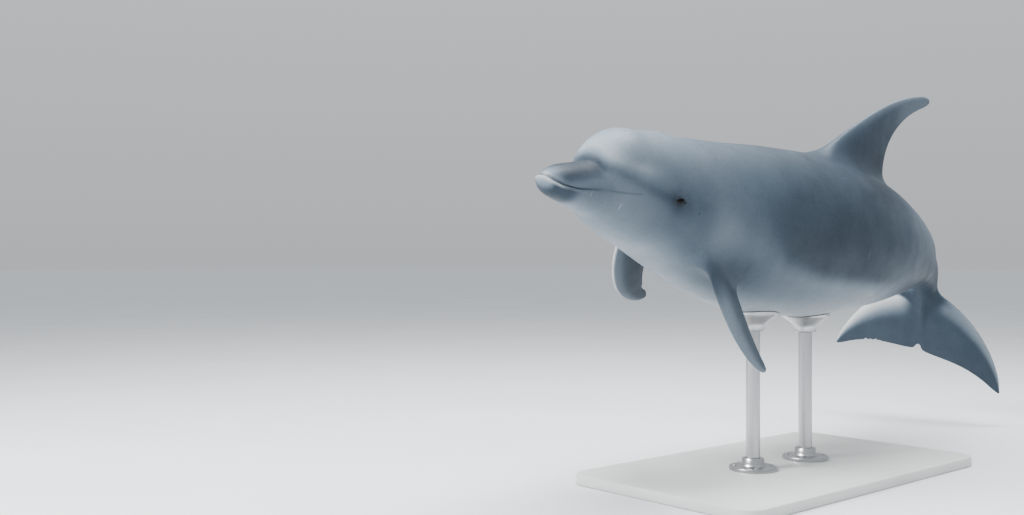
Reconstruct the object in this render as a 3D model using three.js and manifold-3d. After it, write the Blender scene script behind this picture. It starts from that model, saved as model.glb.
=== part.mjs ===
// A bottlenose dolphin as a still, life-size museum model, swimming, on a plain display stand.
// Millimetres, +Z up. The animal faces -Y and its left side is towards +X. The origin is the centre
// of the underside of the stand's base.
//
// The animal is drawn straight first: x to its left, y back from the tip of the snout, z up. A spine
// then bends the straight animal into its swimming pose, and the bent pieces are cut where they meet.

import * as THREE from 'three';
import { mergeVertices } from 'three/addons/utils/BufferGeometryUtils.js';
import Module from 'manifold-3d';

const wasm = await Module();
wasm.setup();
const radians = THREE.MathUtils.degToRad;

// ---------------------------------------------------------------- driving sizes

const NOTCH = 2580; // snout tip to the notch between the flukes
const GAP = 0.3; // clearance between neighbouring pieces
const AROUND = 32; // facets around the body
const NOSE_ROUND = 32; // length of the rounded tip of the snout

// The trunk, jaws and tail stock without the melon: half width, back and belly at each station.
const BODY = [
  { at: 0, wide: 31, back: 20, belly: -28 },
  { at: 40, wide: 45, back: 36, belly: -41 },
  { at: 120, wide: 60, back: 57, belly: -57 },
  { at: 185, wide: 78, back: 77, belly: -73 },
  { at: 265, wide: 107, back: 116, belly: -100 },
  { at: 355, wide: 136, back: 158, belly: -131 },
  { at: 485, wide: 170, back: 178, belly: -172 },
  { at: 660, wide: 204, back: 193, belly: -225 },
  { at: 860, wide: 228, back: 210, belly: -264 },
  { at: 1110, wide: 237, back: 219, belly: -270 },
  { at: 1360, wide: 217, back: 207, belly: -230 },
  { at: 1610, wide: 172, back: 178, belly: -173 },
  { at: 1860, wide: 117, back: 139, belly: -122 },
  { at: 2110, wide: 56, back: 75, belly: -90 },
  { at: 2310, wide: 35, back: 49, belly: -60 },
  { at: 2430, wide: 30, back: 43, belly: -44 },
  { at: 2515, wide: 26, back: 28, belly: -28 },
  { at: NOTCH, wide: 13, back: 8, belly: -8 },
];
// Height of the widest line of the section, and how softly the melon runs into what is under it.
const WAIST = [
  { at: 0, height: -4 },
  { at: 105, height: -6 },
  { at: 370, height: -10 },
  { at: 830, height: -20 },
  { at: 1420, height: -20 },
  { at: NOTCH, height: 0 },
];
const CREASE = [
  { at: 105, soft: 8 },
  { at: 170, soft: 12 },
  { at: 335, soft: 60 },
  { at: NOTCH, soft: 60 },
];
// The melon is an ellipse in section; the power squares off its front a little.
const MELON = { at: 267, height: 33, ahead: 125, behind: 307, high: 129, wide: 107, power: 2.3 };
const KEEL = { from: 1520, full: 2110, sharp: 0.28 }; // the tail stock narrows to a ridge above and below

// Where the animal is parted, measured back from the snout.
const PARTINGS = { neck: 430, chest: 540, loin: 1040, tail: 1640, peduncle: 2090 };

// Each fin has a leading and a trailing edge from root to tip, one cubic curve each, and a thickness
// as a share of its chord at root and tip. The dorsal fin's points are [back from the snout, up]. Its
// root bends with the body, and above stiffAbove it stands stiffly on the station called middle.
const DORSAL = {
  leading: [[1080, -30], [1240, 138], [1420, 256], [1632, 290]],
  trailing: [[1545, -60], [1400, 60], [1444, 190], [1650, 264]],
  rootLine: 223,
  middle: 1320,
  stiffAbove: 200,
  thick: [0.17, 0.11],
};
// The flukes' points are [out from the middle, back from the snout].
const FLUKE = {
  leading: [[0, 2300], [96, 2333], [272, 2440], [326, 2655]],
  trailing: [[0, 2580], [95, 2602], [190, 2572], [322, 2674]],
  thick: [0.2, 0.1],
};
// The flippers' points are [back from the shoulder line, out along the blade].
const FLIPPER = {
  leading: [[-40, -70], [-94, 110], [-26, 274], [84, 332]],
  trailing: [[60, -70], [77, 83], [86, 225], [104, 322]],
  thick: [0.16, 0.12],
  root: { wide: 149, at: 567, height: -126 },
};
const EDGE = 2.4; // half thickness of a fin's trailing edge at its root
const TIP = { over: 0.08, left: 0.2 }; // a fin's tip closes round over this share, to this much of its chord
// The right fluke is cupped: its leading edge is bent ahead and down by this much.
const CUP_RIGHT = { out: 120, chord: 200, ahead: 24, down: 30 };

// How each flipper is held: swept back, drooped and turned about its own length, in degrees.
const FLIPPER_POSE = {
  left: { sweep: 25, droop: 66, turn: -12 },
  right: { sweep: 36, droop: 62, turn: 7 },
};
// Bends of the spine in degrees, each spread over a stretch of the body.
const TAIL_DOWN = [
  { from: 1010, to: 1460, by: 5 },
  { from: 1710, to: 2210, by: 5 },
  { from: 2060, to: 2460, by: 58 },
];
const TAIL_ASIDE = [
  { from: 1065, to: 1810, by: 9.6 },
  { from: 1710, to: 2410, by: 5 },
];
const HEAD_TURN = { from: 305, to: 965, aside: 5, down: -3 };
const CARRIAGE = { noseUp: 3.8, lean: 14.7 }; // the whole animal: nose up, and leaning to its left
const ANCHOR = { at: 1000, x: 20, y: -50, height: 740 }; // the station that the spine is bent from

// The mouth from the tip back to its corner, as [back, up].
const MOUTH = [[-40, 8], [0, 6], [12, 0], [35, -4], [65, -4], [130, 4], [190, 12], [250, 19]];
const JAW_BACK = [225, -160]; // the foot of the parting behind the lower jaw
const BEAK_END = 130;
const EYE = { at: 357, height: 22, radius: 15, proud: 3 };
const BLOWHOLE = { at: 352, radius: 20, spread: 68, groove: 5 };

const BASE = { length: 1150, width: 640, thick: 30, corner: 60, edge: 4 };
const ROD = { radius: 20, at: [930, 1200] };
const FLANGE = { outer: 68, collar: 34, thick: 10, tall: 34 };
const TURNED_SIDES = 20; // facets around the rods, flanges and cups
const CUP = { outer: 72, neck: 32, below: 50, lip: 6, above: 60 };

// ---------------------------------------------------------------- curves and the straight body

const smooth = (x) => THREE.MathUtils.smoothstep(x, 0, 1);

// A smooth curve through stations that never swings past them (monotone cubic).
function through(stations, key) {
  const at = stations.map((station) => station.at);
  const value = stations.map((station) => station[key]);
  const last = at.length - 1;
  const step = at.slice(1).map((x, i) => x - at[i]);
  const slope = step.map((h, i) => (value[i + 1] - value[i]) / h);
  const lean = [slope[0]];
  for (let i = 1; i < last; i += 1) {
    const before = 2 * step[i] + step[i - 1];
    const after = step[i] + 2 * step[i - 1];
    const turns = slope[i - 1] * slope[i] <= 0;
    lean.push(turns ? 0 : (before + after) / (before / slope[i - 1] + after / slope[i]));
  }
  lean.push(slope[last - 1]);
  return (x) => {
    const here = THREE.MathUtils.clamp(x, at[0], at[last]);
    let i = 0;
    while (i < last - 1 && here > at[i + 1]) i += 1;
    const h = step[i];
    const t = (here - at[i]) / h;
    const u = 1 - t;
    return (1 + 2 * t) * u * u * value[i] + t * u * u * h * lean[i]
      + t * t * (3 - 2 * t) * value[i + 1] - t * t * u * h * lean[i + 1];
  };
}

const halfWidth = through(BODY, 'wide');
const backHeight = through(BODY, 'back');
const bellyHeight = through(BODY, 'belly');
const waistHeight = through(WAIST, 'height');
const creaseSoftness = through(CREASE, 'soft');

// Distance from the body's axis out to the melon's ellipse, in the direction (across, up).
function melonReach(at, across, up, grow) {
  const length = at < MELON.at ? MELON.ahead : MELON.behind;
  const power = at < MELON.at ? MELON.power : 2;
  const share = (1 - Math.min(Math.abs(at - MELON.at) / length, 1) ** power) ** (1 / power);
  if (share === 0) return 0;
  const wide = MELON.wide * share + grow;
  const high = MELON.high * share + grow;
  const a = (across / wide) ** 2 + (up / high) ** 2;
  const b = (-2 * up * MELON.height) / high ** 2;
  const c = (MELON.height / high) ** 2 - 1;
  if (c >= 0) return 0;
  return (-b + Math.sqrt(b * b - 4 * a * c)) / (2 * a);
}

// A point of the straight body's surface. The angle starts at the back and turns to the left side.
// A positive grow lifts the surface off the body by that much.
function bodyPoint(at, angle, grow = 0) {
  const nose = at < NOSE_ROUND ? Math.sqrt(1 - (1 - at / NOSE_ROUND) ** 2) : 1;
  const keel = THREE.MathUtils.clamp((at - KEEL.from) / (KEEL.full - KEEL.from), 0, 1)
    * THREE.MathUtils.clamp((NOTCH + 15 - at) / 120, 0, 1);
  const waist = waistHeight(at);
  const sine = Math.sin(angle);
  const cosine = Math.cos(angle);
  const reach = cosine > 0 ? backHeight(at) - waist : waist - bellyHeight(at);
  const x = (halfWidth(at) * nose + grow) * Math.sign(sine) * Math.abs(sine) ** (1 + KEEL.sharp * keel);
  const z = waist + (reach * nose + grow) * cosine;
  const out = Math.hypot(x, z);
  const melon = melonReach(at, x / out, z / out, grow);
  if (melon === 0) return new THREE.Vector3(x, at, z);
  const soft = creaseSoftness(at);
  const near = Math.max(soft - Math.abs(out - melon), 0) / soft;
  const joined = Math.max(out, melon) + (near * near * soft) / 4;
  return new THREE.Vector3((x / out) * joined, at, (z / out) * joined);
}

// ---------------------------------------------------------------- the spine and the pose

const STEP = 10; // spacing of the spine's frames
const LONGEST = 2750;

function bendAt(bends, at) {
  return bends.reduce((sum, bend) => sum + bend.by * smooth((at - bend.from) / (bend.to - bend.from)), 0);
}

// The spine's frame at a station: which way the animal's left, back and up point there.
function spineTurn(at) {
  const head = smooth((HEAD_TURN.to - at) / (HEAD_TURN.to - HEAD_TURN.from));
  const down = bendAt(TAIL_DOWN, at) - HEAD_TURN.down * head;
  const aside = bendAt(TAIL_ASIDE, at) + HEAD_TURN.aside * head;
  const turn = new THREE.Matrix4().makeRotationZ(radians(aside));
  return turn.multiply(new THREE.Matrix4().makeRotationX(radians(-down)));
}

const carriage = new THREE.Matrix4().makeRotationX(radians(-CARRIAGE.noseUp))
  .multiply(new THREE.Matrix4().makeRotationY(radians(CARRIAGE.lean)));

const spine = [];
for (let at = 0; at <= LONGEST; at += STEP) {
  const turn = carriage.clone().multiply(spineTurn(at));
  const [left, back, up] = [0, 1, 2].map((i) => new THREE.Vector3().setFromMatrixColumn(turn, i));
  spine.push({ left, back, up, place: new THREE.Vector3() });
}
const anchor = ANCHOR.at / STEP;
spine[anchor].place.set(ANCHOR.x, ANCHOR.y, ANCHOR.height);
for (let i = anchor + 1; i < spine.length; i += 1) {
  const way = spine[i - 1].back.clone().add(spine[i].back);
  spine[i].place.copy(spine[i - 1].place).addScaledVector(way, STEP / 2);
}
for (let i = anchor - 1; i >= 0; i -= 1) {
  const way = spine[i + 1].back.clone().add(spine[i].back);
  spine[i].place.copy(spine[i + 1].place).addScaledVector(way, -STEP / 2);
}

// Carries a point of the straight animal to its place in the pose. It rides on the spine beside it, or
// stiffly on the spine at another station.
function pose(point, station = point.y) {
  const at = THREE.MathUtils.clamp(station, 0, LONGEST - STEP);
  const i = Math.floor(at / STEP);
  const t = at / STEP - i;
  const mix = (name) => spine[i][name].clone().lerp(spine[i + 1][name], t);
  return mix('place')
    .addScaledVector(mix('left'), point.x)
    .addScaledVector(mix('up'), point.z)
    .addScaledVector(mix('back'), point.y - at);
}

// ---------------------------------------------------------------- closed meshes and cutting

// Joins loops of points, each as long as the next, into one closed geometry.
function loft(loops) {
  const size = loops[0].length;
  const points = loops.flat();
  const faces = [];
  for (let i = 0; i < loops.length - 1; i += 1) {
    for (let j = 0; j < size; j += 1) {
      const a = i * size + j;
      const b = i * size + ((j + 1) % size);
      faces.push(a, b, b + size, a, b + size, a + size);
    }
  }
  for (const [first, front] of [[0, true], [(loops.length - 1) * size, false]]) {
    const middle = new THREE.Vector3();
    points.slice(first, first + size).forEach((point) => middle.addScaledVector(point, 1 / size));
    points.push(middle);
    for (let j = 0; j < size; j += 1) {
      const next = first + ((j + 1) % size);
      if (front) faces.push(next, first + j, points.length - 1);
      else faces.push(first + j, next, points.length - 1);
    }
  }
  return new THREE.BufferGeometry().setFromPoints(points).setIndex(faces);
}

function solid(geometry) {
  const bare = geometry.clone();
  bare.deleteAttribute('normal');
  bare.deleteAttribute('uv');
  const merged = mergeVertices(bare, 0.001);
  return new wasm.Manifold(new wasm.Mesh({
    numProp: 3,
    vertProperties: new Float32Array(merged.attributes.position.array),
    triVerts: new Uint32Array(merged.index.array),
  }));
}

// Closes loops into a solid whichever way round they run.
function loftedSolid(loops) {
  const shape = solid(loft(loops));
  return shape.volume() > 0 ? shape : solid(loft(loops.map((loop) => [...loop].reverse())));
}

function geometryOf(manifold) {
  const mesh = manifold.getMesh();
  const geometry = new THREE.BufferGeometry();
  geometry.setAttribute('position', new THREE.BufferAttribute(mesh.vertProperties, 3));
  geometry.setIndex(new THREE.BufferAttribute(mesh.triVerts, 1));
  return geometry;
}

const object = new THREE.Group();

function add(name, shape, finish) {
  const geometry = shape instanceof THREE.BufferGeometry ? shape : geometryOf(shape);
  geometry.computeVertexNormals();
  const mesh = new THREE.Mesh(geometry, new THREE.MeshStandardMaterial(finish));
  mesh.name = name;
  object.add(mesh);
}

const SKIN = { color: 0x66717c, roughness: 0.45 };
const FIN_SKIN = { color: 0x4a535d, roughness: 0.45 };
const EYE_GLOSS = { color: 0x15110e, roughness: 0.1 };
const STEEL = { color: 0xb4b6b8, roughness: 0.3, metalness: 1 };
const BASE_PAINT = { color: 0xd9d9d6, roughness: 0.5 };

// ---------------------------------------------------------------- head, trunk and tail stock

// Stations of the rings: close together on the head, wider along the trunk, and a pair at each parting
// so that neighbouring lengths match.
const STRETCHES = [
  { from: 0.5, to: NOSE_ROUND, steps: 4 },
  { from: NOSE_ROUND, to: 440, steps: 16 },
  { from: 440, to: 1700, steps: 16 },
  { from: 1700, to: NOTCH, steps: 17 },
];
const partings = Object.values(PARTINGS);
const even = STRETCHES.flatMap(({ from, to, steps }) => (
  Array.from({ length: steps }, (_, i) => from + ((to - from) * i) / steps)));
const STATIONS = [
  ...even.filter((at) => partings.every((parting) => Math.abs(parting - at) > 6)),
  ...partings.flatMap((at) => [at - GAP / 2, at + GAP / 2]),
  NOTCH,
].sort((a, b) => a - b);
const SNOUT = STATIONS[0];

const ring = (at, grow) => Array.from({ length: AROUND }, (_, j) => (
  pose(bodyPoint(at, (2 * Math.PI * j) / AROUND, grow))));

function bodyLength(from, to, grow = 0) {
  const inside = STATIONS.filter((at) => at > from - GAP / 4 && at < to + GAP / 4);
  return solid(loft(inside.map((at) => ring(at, grow))));
}

// A block across the animal with the given side outline of [back, up] points.
function sideBlock(outline, shift = [0, 0]) {
  const half = 300;
  const corner = ([back, up]) => new THREE.Vector2(back + shift[0], up + shift[1]);
  const shape = new THREE.Shape(outline.map(corner));
  const block = new THREE.ExtrudeGeometry(shape, { depth: 2 * half, bevelEnabled: false });
  const corners = block.attributes.position;
  for (let i = 0; i < corners.count; i += 1) {
    const straight = new THREE.Vector3(corners.getZ(i) - half, corners.getX(i), corners.getY(i));
    corners.setXYZ(i, ...pose(straight));
  }
  return solid(block);
}

// The skin's surface on the left side, at a station and height.
function sideOfSkin(at, height) {
  let above = 0;
  let below = Math.PI;
  for (let halvings = 0; halvings < 30; halvings += 1) {
    const middle = (above + below) / 2;
    if (bodyPoint(at, middle).z > height) above = middle;
    else below = middle;
  }
  return bodyPoint(at, below);
}

function eyeball(side, grow = 0) {
  const skin = sideOfSkin(EYE.at, EYE.height);
  const centre = new THREE.Vector3(side * (skin.x - EYE.radius + EYE.proud), EYE.at, EYE.height);
  const ball = new THREE.SphereGeometry(EYE.radius + grow, 14, 8);
  const place = pose(centre);
  return solid(ball.translate(place.x, place.y, place.z));
}

// The blowhole's crescent, a round groove whose horns point forward.
function blowhole() {
  const loops = [];
  for (let i = 0; i <= 8; i += 1) {
    const turn = radians(THREE.MathUtils.lerp(-BLOWHOLE.spread, BLOWHOLE.spread, i / 8));
    const across = Math.sin(turn) * BLOWHOLE.radius;
    const at = BLOWHOLE.at + Math.cos(turn) * BLOWHOLE.radius;
    const size = BLOWHOLE.groove * (1.15 - Math.abs(i - 4) / 4);
    const top = bodyPoint(at, Math.atan2(across, backHeight(at))).z;
    loops.push(Array.from({ length: 6 }, (_, j) => {
      const around = (2 * Math.PI * j) / 6;
      const out = size * Math.cos(around);
      return pose(new THREE.Vector3(
        across + Math.sin(turn) * out,
        at + Math.cos(turn) * out,
        top + size * Math.sin(around),
      ));
    }));
  }
  return loftedSolid(loops);
}

const wholeHead = bodyLength(SNOUT, PARTINGS.neck - GAP / 2)
  .subtract(eyeball(1, GAP)).subtract(eyeball(-1, GAP)).subtract(blowhole());
const jawOutline = [...MOUTH, JAW_BACK, [MOUTH[0][0], JAW_BACK[1]]];
const beakOutline = [[-40, -60], [BEAK_END, -60], [BEAK_END, 300], [-40, 300]];
const upperPart = wholeHead.subtract(sideBlock(jawOutline, [GAP * 1.6, GAP]));

add('lower_jaw', wholeHead.intersect(sideBlock(jawOutline)), SKIN);
add('upper_jaw', upperPart.intersect(sideBlock(beakOutline)), SKIN);
add('head', upperPart.subtract(sideBlock(beakOutline, [GAP, 0])), SKIN);
add('eye_left', eyeball(1), EYE_GLOSS);
add('eye_right', eyeball(-1), EYE_GLOSS);

const { neck, chest, loin, tail, peduncle } = PARTINGS;
add('neck', bodyLength(neck + GAP / 2, chest - GAP / 2), SKIN);
add('chest', bodyLength(chest + GAP / 2, loin - GAP / 2), SKIN);
add('loin', bodyLength(loin + GAP / 2, tail - GAP / 2), SKIN);
add('tail_stock', bodyLength(tail + GAP / 2, peduncle - GAP / 2), SKIN);
add('peduncle', bodyLength(peduncle + GAP / 2, NOTCH), SKIN);

// ---------------------------------------------------------------- fins, flippers and flukes

const cubic = (points) => new THREE.CubicBezierCurve3(...points.map(([a, b]) => new THREE.Vector3(a, b, 0)));
// Half thickness of a streamlined section of unit chord and thickness, at a share of the chord.
const streamlined = (c) => 5 * (0.2969 * Math.sqrt(c) - 0.126 * c - 0.3516 * c ** 2
  + 0.2843 * c ** 3 - 0.1036 * c ** 4);

// A tapering fin. Each loop is a streamlined section between the leading and the trailing edge, and
// place carries a point (edge a, edge b, thickness) to its place in the pose.
function fin({ leading, trailing, thick }, rows, columns, place) {
  const front = cubic(leading);
  const back = cubic(trailing);
  const loops = [];
  for (let i = 0; i <= rows; i += 1) {
    const out = 1 - (1 - i / rows) ** 1.5;
    const start = front.getPoint(out);
    const end = back.getPoint(out);
    const middle = start.clone().lerp(end, 0.5);
    const closing = Math.max(out - 1 + TIP.over, 0) / TIP.over;
    const narrowing = 1 - Math.sqrt(1 - (1 - TIP.left ** 2) * closing ** 2);
    start.lerp(middle, narrowing);
    end.lerp(middle, narrowing);
    const depth = start.distanceTo(end) * THREE.MathUtils.lerp(...thick, out);
    const edge = THREE.MathUtils.lerp(EDGE, EDGE / 3, out);
    const loop = [];
    for (let j = 0; j <= 2 * columns; j += 1) {
      const side = j <= columns ? 1 : -1;
      const step = side > 0 ? j : 2 * columns + 1 - j;
      const c = (1 - Math.cos((Math.PI * step) / columns)) / 2;
      const half = side * (streamlined(c) * depth + edge * c);
      const along = start.clone().lerp(end, c);
      loop.push(place(along.x, along.y, half));
    }
    loops.push(loop);
  }
  return loops;
}

const flipperTurn = ({ sweep, droop, turn }) => new THREE.Matrix4().makeRotationY(radians(droop))
  .multiply(new THREE.Matrix4().makeRotationZ(radians(sweep)))
  .multiply(new THREE.Matrix4().makeRotationX(radians(turn)));

function flipper(side, held) {
  const turn = flipperTurn(held);
  const { wide, at, height } = FLIPPER.root;
  const place = (back, out, half) => {
    const point = new THREE.Vector3(out, back, half).applyMatrix4(turn);
    return pose(new THREE.Vector3(side * (wide + point.x), at + point.y, height + point.z), at);
  };
  return loftedSolid(fin(FLIPPER, 10, 7, place));
}

const dorsal = loftedSolid(fin(DORSAL, 11, 8, (back, up, half) => {
  const stiff = THREE.MathUtils.clamp(up / DORSAL.stiffAbove, 0, 1);
  const station = THREE.MathUtils.lerp(back, DORSAL.middle, stiff);
  return pose(new THREE.Vector3(half, back, DORSAL.rootLine + up), station);
}));
const fluke = (side) => loftedSolid(fin(FLUKE, 12, 8, (out, back, half) => {
  const ahead = THREE.MathUtils.clamp((NOTCH - back) / CUP_RIGHT.chord, 0, 1) ** 2;
  const cupped = side < 0 ? smooth(out / CUP_RIGHT.out) * ahead : 0;
  const point = new THREE.Vector3(
    side * (out + GAP),
    back - CUP_RIGHT.ahead * cupped,
    half - CUP_RIGHT.down * cupped,
  );
  return pose(point);
}));

const clearBody = bodyLength(SNOUT, NOTCH, GAP * 1.2);

add('dorsal_fin', dorsal.subtract(clearBody), FIN_SKIN);
add('flipper_left', flipper(1, FLIPPER_POSE.left).subtract(clearBody), FIN_SKIN);
add('flipper_right', flipper(-1, FLIPPER_POSE.right).subtract(clearBody), FIN_SKIN);
add('fluke_left', fluke(1).subtract(clearBody), FIN_SKIN);
add('fluke_right', fluke(-1).subtract(clearBody), FIN_SKIN);

// ---------------------------------------------------------------- the display stand

function turned(profile) {
  const outline = profile.map(([radius, height]) => new THREE.Vector2(radius, height));
  return new THREE.LatheGeometry(outline, TURNED_SIDES).rotateX(Math.PI / 2);
}

function basePlate() {
  const x = BASE.width / 2;
  const y = BASE.length / 2;
  const r = BASE.corner;
  const plan = new THREE.Shape()
    .moveTo(x - r, -y)
    .absarc(x - r, r - y, r, -Math.PI / 2, 0)
    .absarc(x - r, y - r, r, 0, Math.PI / 2)
    .absarc(r - x, y - r, r, Math.PI / 2, Math.PI)
    .absarc(r - x, r - y, r, Math.PI, 1.5 * Math.PI);
  const plate = new THREE.ExtrudeGeometry(plan, {
    depth: BASE.thick - 2 * BASE.edge,
    bevelThickness: BASE.edge,
    bevelSize: BASE.edge,
    bevelOffset: -BASE.edge,
    bevelSegments: 1,
    curveSegments: 5,
  });
  return plate.translate(0, 0, BASE.edge);
}

// The lowest point of the skin around a station: a rod stands straight under it.
function undersideAt(at) {
  return ring(at, 0).reduce((lowest, point) => (point.z < lowest.z ? point : lowest));
}

add('stand_base', basePlate(), BASE_PAINT);
ROD.at.forEach((at, i) => {
  const which = ['front', 'rear'][i];
  const under = undersideAt(at);
  const foot = BASE.thick + GAP;
  const cupFoot = under.z - CUP.below;
  const rod = new THREE.CylinderGeometry(ROD.radius, ROD.radius, cupFoot - GAP - foot, TURNED_SIDES)
    .rotateX(Math.PI / 2)
    .translate(under.x, under.y, (cupFoot - GAP + foot) / 2);
  const hole = ROD.radius + GAP;
  const flange = turned([
    [hole, 0], [FLANGE.outer, 0], [FLANGE.outer, FLANGE.thick - 3], [FLANGE.outer - 3, FLANGE.thick],
    [FLANGE.collar, FLANGE.thick + 2], [FLANGE.collar - 4, FLANGE.tall], [hole, FLANGE.tall], [hole, 0],
  ]).translate(under.x, under.y, foot);
  const cup = turned([
    [0, -CUP.below], [CUP.neck - 3, -CUP.below], [CUP.neck, 3 - CUP.below], [CUP.neck, 16 - CUP.below],
    [CUP.outer - 4, -CUP.lip], [CUP.outer, 0], [CUP.outer, CUP.above], [0, CUP.above],
  ]).translate(under.x, under.y, under.z);
  add(`stand_rod_${which}`, rod, STEEL);
  add(`stand_flange_${which}`, solid(flange), STEEL);
  add(`stand_cup_${which}`, solid(cup).subtract(clearBody), STEEL);
});

export default object;
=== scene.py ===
import math

import bmesh
import bpy
import numpy as np
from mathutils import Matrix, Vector
from mathutils.bvhtree import BVHTree


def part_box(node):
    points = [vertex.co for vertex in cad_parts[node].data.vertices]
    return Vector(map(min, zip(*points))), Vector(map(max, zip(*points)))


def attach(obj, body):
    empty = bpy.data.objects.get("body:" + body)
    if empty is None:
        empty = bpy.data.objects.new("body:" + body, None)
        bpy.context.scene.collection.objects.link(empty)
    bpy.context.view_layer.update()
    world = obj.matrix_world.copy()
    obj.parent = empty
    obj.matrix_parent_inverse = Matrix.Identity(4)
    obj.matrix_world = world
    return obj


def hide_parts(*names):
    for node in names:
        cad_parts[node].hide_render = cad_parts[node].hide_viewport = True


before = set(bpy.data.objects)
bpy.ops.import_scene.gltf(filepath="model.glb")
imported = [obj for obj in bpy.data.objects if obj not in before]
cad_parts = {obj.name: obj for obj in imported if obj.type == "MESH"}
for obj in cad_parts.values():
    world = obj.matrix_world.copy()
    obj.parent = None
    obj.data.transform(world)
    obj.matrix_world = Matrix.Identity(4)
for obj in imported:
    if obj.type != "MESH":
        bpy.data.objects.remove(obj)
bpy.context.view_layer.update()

# ---------------------------------------------------------------- the straight animal
# A bottlenose dolphin is one firm, hairless tube of muscle and blubber under smooth skin. It is drawn
# straight first, with x to its left, y back from the tip of the snout and z up, in metres.

NOTCH = 2.58  # snout tip to the notch between the flukes
END = NOTCH + 0.004  # where the rounded end of the tail stock closes
NOSE_ROUND = 0.032  # length of the rounded tip of the snout
TAIL_ROUND = 0.022  # length of the rounded end of the tail stock
# Station, half width, back and belly of the trunk, jaws and tail stock without the melon.
BODY = np.array([
    (0.000, 0.031, 0.020, -0.028),
    (0.040, 0.045, 0.036, -0.041),
    (0.120, 0.060, 0.057, -0.057),
    (0.185, 0.078, 0.077, -0.073),
    (0.265, 0.107, 0.116, -0.100),
    (0.355, 0.136, 0.158, -0.131),
    (0.485, 0.170, 0.178, -0.172),
    (0.660, 0.204, 0.193, -0.225),
    (0.860, 0.228, 0.210, -0.264),
    (1.110, 0.237, 0.219, -0.270),
    (1.360, 0.217, 0.207, -0.230),
    (1.610, 0.172, 0.178, -0.173),
    (1.860, 0.117, 0.139, -0.122),
    (2.110, 0.056, 0.075, -0.090),
    (2.310, 0.035, 0.049, -0.060),
    (2.430, 0.030, 0.043, -0.044),
    (2.515, 0.026, 0.028, -0.028),
    (2.580, 0.013, 0.008, -0.008),
])
# Height of the widest line of the section, and how softly the melon runs into what is under it.
WAIST = np.array([
    (0.000, -0.004),
    (0.105, -0.006),
    (0.370, -0.010),
    (0.830, -0.020),
    (1.420, -0.020),
    (2.580, 0.000),
])
CREASE = np.array([(0.105, 0.008), (0.170, 0.012), (0.335, 0.060), (2.580, 0.060)])
# The melon is an ellipse in section; the power squares off its front a little.
MELON = {"at": 0.267, "height": 0.033, "ahead": 0.125, "behind": 0.307, "high": 0.129, "wide": 0.107,
         "power": 2.3}
# The tail stock narrows to a ridge above and below, which runs out between the flukes.
KEEL = {"from": 1.52, "full": 2.11, "out": NOTCH + 0.015, "runs_out_over": 0.12, "sharp": 0.28}
MOUTH = np.array([
    (0.000, 0.006),
    (0.012, 0.000),
    (0.035, -0.004),
    (0.065, -0.004),
    (0.130, 0.004),
    (0.190, 0.012),
    (0.250, 0.019),
    (0.420, 0.020),
])
MOUTH_CORNER = 0.250
SNOUT_CLOSES = 0.05  # the tip of the snout closes on the mouth line over this length


def smooth(x):
    x = np.clip(x, 0, 1)
    return x * x * (3 - 2 * x)


def rise(x, start, length):
    """0 up to the start and 1 from a length beyond it."""
    return smooth((x - start) / length)


def fall(x, start, length):
    return 1 - rise(x, start, length)


def mix(a, b, share):
    return a + (b - a) * share


def through(at, value):
    """A smooth curve through stations that never swings past them."""
    step = np.diff(at)
    slope = np.diff(value) / step
    before = 2 * step[1:] + step[:-1]
    after = step[1:] + 2 * step[:-1]
    turns = slope[:-1] * slope[1:] <= 0
    first, second = np.where(turns, 1, slope[:-1]), np.where(turns, 1, slope[1:])
    lean = np.concatenate([
        slope[:1],
        np.where(turns, 0, (before + after) / (before / first + after / second)),
        slope[-1:],
    ])

    def curve(x):
        x = np.clip(x, at[0], at[-1])
        i = np.clip(np.searchsorted(at, x, side="right") - 1, 0, len(step) - 1)
        h = step[i]
        t = (x - at[i]) / h
        u = 1 - t
        return ((1 + 2 * t) * u * u * value[i] + t * u * u * h * lean[i]
                + t * t * (3 - 2 * t) * value[i + 1] - t * t * u * h * lean[i + 1])

    return curve


half_width = through(BODY[:, 0], BODY[:, 1])
back_height = through(BODY[:, 0], BODY[:, 2])
belly_height = through(BODY[:, 0], BODY[:, 3])
waist_height = through(WAIST[:, 0], WAIST[:, 1])
crease_softness = through(CREASE[:, 0], CREASE[:, 1])
mouth_height = through(MOUTH[:, 0], MOUTH[:, 1])


def ellipse_reach(across, up, wide, high, centre):
    """From the body's axis, in the direction (across, up), out to an ellipse round a centre above it."""
    a = (across / wide) ** 2 + (up / high) ** 2
    b = -2 * up * centre / high ** 2
    c = (centre / high) ** 2 - 1
    return np.where(c < 0, (-b + np.sqrt(np.clip(b * b - 4 * a * c, 0, None))) / (2 * a), 0)


def melon_reach(at, across, up):
    length = np.where(at < MELON["at"], MELON["ahead"], MELON["behind"])
    power = np.where(at < MELON["at"], MELON["power"], 2)
    share = np.clip(1 - np.abs((at - MELON["at"]) / length) ** power, 1e-6, None) ** (1 / power)
    return ellipse_reach(across, up, MELON["wide"] * share, MELON["high"] * share, MELON["height"])


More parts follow.
